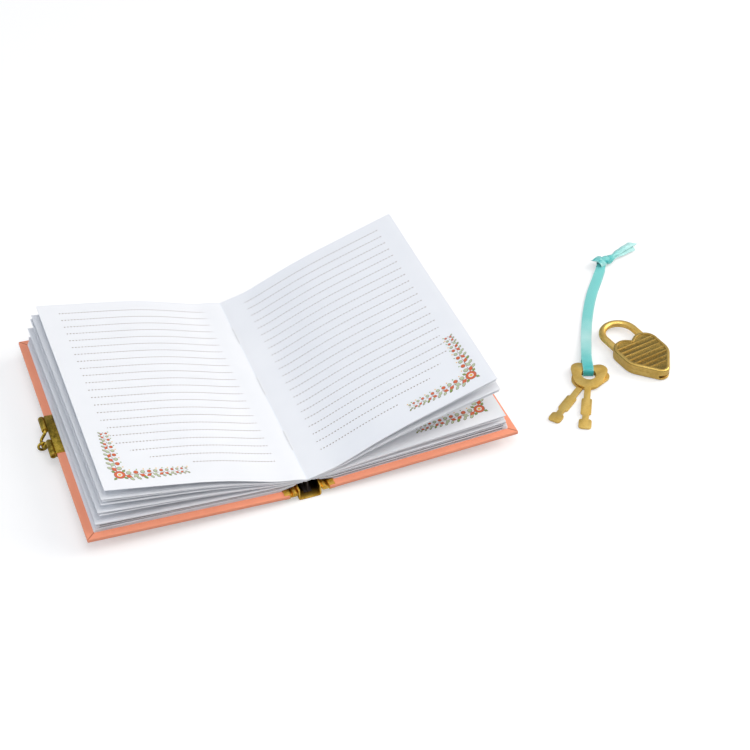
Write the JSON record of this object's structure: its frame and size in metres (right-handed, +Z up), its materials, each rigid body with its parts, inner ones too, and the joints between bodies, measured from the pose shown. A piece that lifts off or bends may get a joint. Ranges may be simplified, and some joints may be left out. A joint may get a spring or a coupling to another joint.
{
  "type": "diary with lock",
  "caption": "Open lockable diary with coral covers hinged on a brass spine channel, white ruled pages, wire clasps, a heart-shaped padlock and keys on a turquoise ribbon",
  "frame": {"origin": "middle of the flat underside of the spine channel, on which the open book rests", "axes": "+X towards the back cover, along the open book's width; +Y towards the head of the pages; +Z up out of the open pages"},
  "size_m": [0.359, 0.1577, 0.044],
  "materials": {
    "cover_cloth": "coral book cloth, fine grain, matt",
    "board": "grey bookboard, covered",
    "paper": "uncoated white paper",
    "brass": "antique brass plate, mottled",
    "lock_brass": "satin antique brass with dark recesses",
    "steel": "plain drawn wire",
    "thread": "waxed white thread",
    "guard": "starched cloth strip",
    "ribbon": "turquoise satin, soft sheen"
  },
  "bodies": {
    "spine": {"spine_channel": "steel", "front_hinge_pin": "steel", "back_hinge_pin": "steel", "spine_guard": "guard", "sewing_thread": "thread"},
    "front_cover": {"front_hinge_strip": "brass", "front_cover_board": "board", "front_cover_wrap": "cover_cloth", "front_endpaper": "paper", "front_signature_1": "paper", "front_signature_2": "paper", "front_signature_3": "paper", "front_signature_4": "paper", "front_clasp_plate": "brass"},
    "back_cover": {"back_hinge_strip": "brass", "back_cover_board": "board", "back_cover_wrap": "cover_cloth", "back_endpaper": "paper", "back_signature_1": "paper", "back_signature_2": "paper", "back_signature_3": "paper", "back_signature_4": "paper", "back_clasp_plate": "brass"},
    "front_leaf_1": {"front_leaf_1": "paper"},
    "front_leaf_2": {"front_leaf_2": "paper"},
    "front_leaf_3": {"front_leaf_3": "paper"},
    "front_leaf_4": {"front_leaf_4": "paper"},
    "back_leaf_1": {"back_leaf_1": "paper"},
    "back_leaf_2": {"back_leaf_2": "paper"},
    "back_leaf_3": {"back_leaf_3": "paper"},
    "front_bail": {"front_clasp_bail": "brass"},
    "back_bail": {"back_clasp_bail": "brass"},
    "bail_ring": {"clasp_ring": "brass"},
    "padlock": {"padlock_back": "lock_brass", "padlock_front": "lock_brass", "padlock_rivets": "lock_brass", "padlock_stop_pin": "steel", "padlock_catch": "steel", "padlock_spring": "steel"},
    "shackle": {"padlock_shackle": "lock_brass"},
    "key_ribbon": {"ribbon_lower": "ribbon", "ribbon_upper": "ribbon", "ribbon_knot": "ribbon", "ribbon_tails": "ribbon"},
    "front_key": {"front_key": "lock_brass"},
    "rear_key": {"rear_key": "lock_brass"}
  },
  "joints": [
    {"name": "front_cover_hinge", "type": "hinge", "parent": "spine", "child": "front_cover", "pos_m": [-0.00735, 0, 0.0042], "axis": [0, 1, 0], "range_deg": [0, 87.3], "deforming": ["front_leaf_1", "front_leaf_2", "front_leaf_3", "front_leaf_4"]},
    {"name": "back_cover_hinge", "type": "hinge", "parent": "spine", "child": "back_cover", "pos_m": [0.00735, 0, 0.0042], "axis": [0, -1, 0], "range_deg": [0, 87.3], "deforming": ["back_leaf_1", "back_leaf_2", "back_leaf_3"]},
    {"name": "front_leaf_1_swing", "type": "hinge", "parent": "spine", "child": "front_leaf_1", "pos_m": [-0.00013, 0, 0.0087], "axis": [0, 1, 0], "range_deg": [0, 75.5], "deforming": ["front_leaf_1"]},
    {"name": "front_leaf_2_swing", "type": "hinge", "parent": "spine", "child": "front_leaf_2", "pos_m": [-0.00013, 0, 0.00836], "axis": [0, 1, 0], "range_deg": [0, 78.2], "deforming": ["front_leaf_2"]},
    {"name": "front_leaf_3_swing", "type": "hinge", "parent": "spine", "child": "front_leaf_3", "pos_m": [-0.00013, 0, 0.00802], "axis": [0, 1, 0], "range_deg": [0, 79.2], "deforming": ["front_leaf_3"]},
    {"name": "front_leaf_4_swing", "type": "hinge", "parent": "spine", "child": "front_leaf_4", "pos_m": [-0.00013, 0, 0.00768], "axis": [0, 1, 0], "range_deg": [0, 81.5], "deforming": ["front_leaf_4"]},
    {"name": "back_leaf_3_swing", "type": "hinge", "parent": "spine", "child": "back_leaf_3", "pos_m": [0.00013, 0, 0.00802], "axis": [0, -1, 0], "range_deg": [0, 83.2], "deforming": ["back_leaf_3"]},
    {"name": "back_leaf_1_turn", "type": "hinge", "parent": "back_leaf_3", "child": "back_leaf_1", "pos_m": [0.00013, 0, 0.0087], "axis": [0, 1, 0], "range_deg": [-138, 0], "deforming": ["back_leaf_1"]},
    {"name": "back_leaf_2_turn", "type": "hinge", "parent": "back_leaf_3", "child": "back_leaf_2", "pos_m": [0.00013, 0, 0.00836], "axis": [0, 1, 0], "range_deg": [-140.5, 0], "deforming": ["back_leaf_2"]},
    {"name": "front_bail_swing", "type": "hinge", "parent": "front_cover", "child": "front_bail", "pos_m": [-0.11076, 0, 0.00848], "axis": [0, 1, 0], "range_deg": [-4, 125]},
    {"name": "back_bail_swing", "type": "hinge", "parent": "back_cover", "child": "back_bail", "pos_m": [0.11076, 0, 0.00848], "axis": [0, -1, 0], "range_deg": [-48, 100]},
    {"name": "ring_swing", "type": "hinge", "parent": "front_bail", "child": "bail_ring", "pos_m": [-0.11357, 0, 0.0041], "axis": [0, 1, 0], "range_deg": [-40, 40]},
    {"name": "padlock_lift", "type": "slide", "parent": "spine", "child": "padlock", "axis": [0, 0, 1], "range_m": [0, 0.05]},
    {"name": "shackle_slide", "type": "slide", "parent": "padlock", "child": "shackle", "axis": [-0.1908, 0.9816, 0], "range_m": [0, 0.0065], "deforming": ["padlock_spring", "padlock_catch"]},
    {"name": "key_ribbon_lift", "type": "slide", "parent": "spine", "child": "key_ribbon", "axis": [0, 0, 1], "range_m": [0, 0.05]},
    {"name": "front_key_swing", "type": "hinge", "parent": "key_ribbon", "child": "front_key", "pos_m": [0.1644, -0.0436, 0.0024], "axis": [0, 0, 1], "range_deg": [0, 12]},
    {"name": "rear_key_swing", "type": "hinge", "parent": "key_ribbon", "child": "rear_key", "pos_m": [0.1644, -0.0436, 0.0006], "axis": [0, 0, 1], "range_deg": [-12, 0]}
  ],
  "couplings": [
    {"joint": "front_leaf_1_swing", "follows": "front_cover_hinge", "ratio": 0.86483},
    {"joint": "front_leaf_2_swing", "follows": "front_cover_hinge", "ratio": 0.89576},
    {"joint": "front_leaf_3_swing", "follows": "front_cover_hinge", "ratio": 0.90722},
    {"joint": "front_leaf_4_swing", "follows": "front_cover_hinge", "ratio": 0.93356},
    {"joint": "back_leaf_3_swing", "follows": "back_cover_hinge", "ratio": 0.95304}
  ]
}
